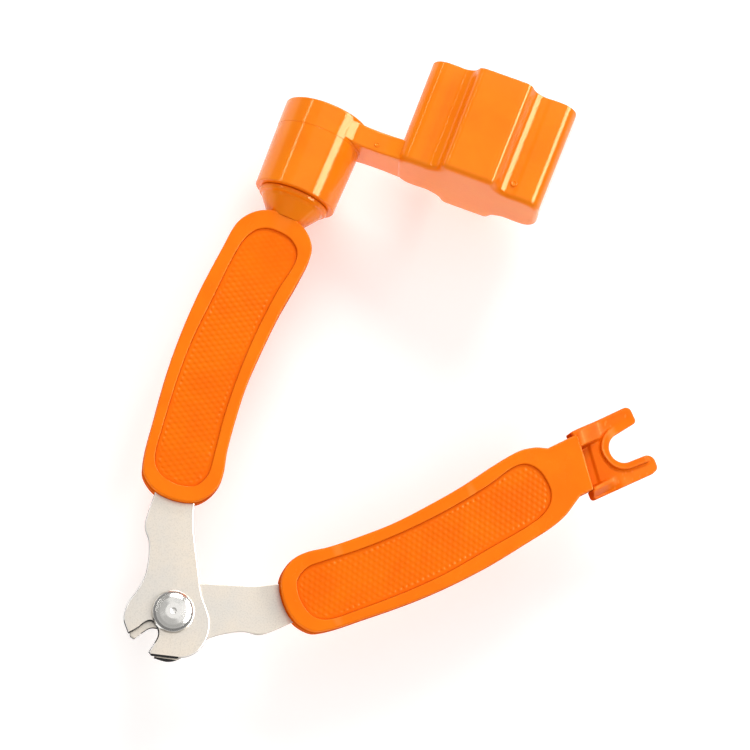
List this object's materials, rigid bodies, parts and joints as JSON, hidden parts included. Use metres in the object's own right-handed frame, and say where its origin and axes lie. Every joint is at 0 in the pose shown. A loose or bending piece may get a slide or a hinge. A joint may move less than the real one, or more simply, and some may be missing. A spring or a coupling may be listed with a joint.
{
  "type": "string winder",
  "caption": "Plier-style hand tool: crank-driven peg cup on one handle, bridge-pin fork on the other, shear notch for strings at the pivot.",
  "frame": {"origin": "centre of the rivet's flat back face, on the axis the two handles pivot about", "axes": "+Z along the rivet from its back to its domed head, +Y parallel to the axis the winder head spins about, from the pivot towards the head, +X to the puller handle's side"},
  "size_m": [0.1341, 0.178, 0.0345],
  "materials": {
    "blade_steel": "fine-ground stamped steel, bright chamfered edges",
    "rivet_steel": "polished dome",
    "washer_steel": "plain steel",
    "grip_plastic": "glossy moulded plastic, faint flow waviness",
    "pad_plastic": "satin, knurled with a close-packed lattice of small raised points",
    "stem_plastic": "glossy turned-looking moulding",
    "head_plastic": "high gloss moulded plastic",
    "screw_steel": "zinc-plated steel",
    "fork_plastic": "glossy moulded plastic"
  },
  "bodies": {
    "winder_arm": {"blade_upper": "blade_steel", "pivot_rivet": "rivet_steel", "rivet_washer": "washer_steel", "winder_grip_front": "grip_plastic", "winder_grip_back": "grip_plastic", "winder_pad_front": "pad_plastic", "winder_pad_back": "pad_plastic", "swivel_stem": "stem_plastic", "retaining_screw": "screw_steel", "retaining_washer": "washer_steel"},
    "puller_arm": {"blade_lower": "blade_steel", "puller_grip_front": "grip_plastic", "puller_grip_back": "grip_plastic", "puller_pad_front": "pad_plastic", "puller_pad_back": "pad_plastic", "bridge_pin_fork": "fork_plastic"},
    "winder_head": {"winder_head": "head_plastic"}
  },
  "joints": [
    {"name": "cutter_pivot", "type": "hinge", "parent": "winder_arm", "child": "puller_arm", "pos_m": [0, 0, 0], "axis": [0, 0, 1], "range_deg": [-60, 34]},
    {"name": "crank_spin", "type": "hinge", "parent": "winder_arm", "child": "winder_head", "pos_m": [-0.0118, 0.1292, 0.00435], "axis": [0, -1, 0], "continuous": true}
  ]
}
